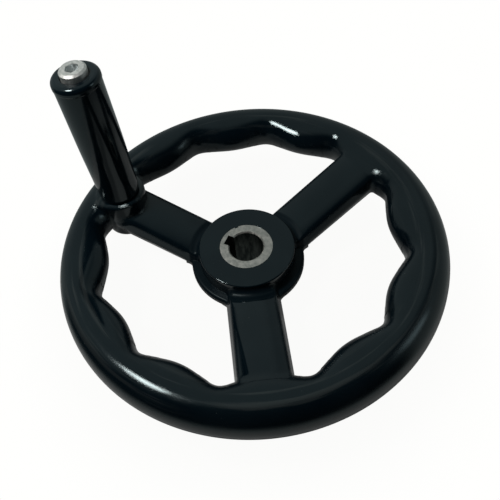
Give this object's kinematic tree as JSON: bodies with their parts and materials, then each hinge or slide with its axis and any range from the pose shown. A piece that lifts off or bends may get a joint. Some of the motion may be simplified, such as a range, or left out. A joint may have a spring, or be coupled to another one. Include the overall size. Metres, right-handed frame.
{
  "type": "machine handwheel",
  "caption": "Moulded spoked handwheel with a waved finger-grip rim, keyed steel hub bush and a revolving handle on its rim, for turning a machine's feed screw by hand.",
  "frame": {"origin": "centre of the bore at the hub's rear face, the lowest face of the part", "axes": "+Z along the bore towards the side that the handle stands on; -X from the bore towards the handle"},
  "size_m": [0.2, 0.2, 0.1243],
  "materials": {
    "wheel_phenolic": "glossy moulded black phenolic",
    "grip_phenolic": "glossy moulded black phenolic",
    "bush_steel": "faced and bored steel, satin",
    "spindle_steel": "bright zinc plated steel",
    "insert_brass": "turned brass"
  },
  "bodies": {
    "wheel": {"wheel_body": "wheel_phenolic", "hub_bush": "bush_steel", "handle_insert": "insert_brass", "handle_spindle": "spindle_steel"},
    "grip": {"handle_grip": "grip_phenolic"}
  },
  "joints": [
    {"name": "handle_spin", "type": "hinge", "parent": "wheel", "child": "grip", "pos_m": [-0.0755, 0, 0.0835], "axis": [0, 0, 1], "continuous": true}
  ]
}
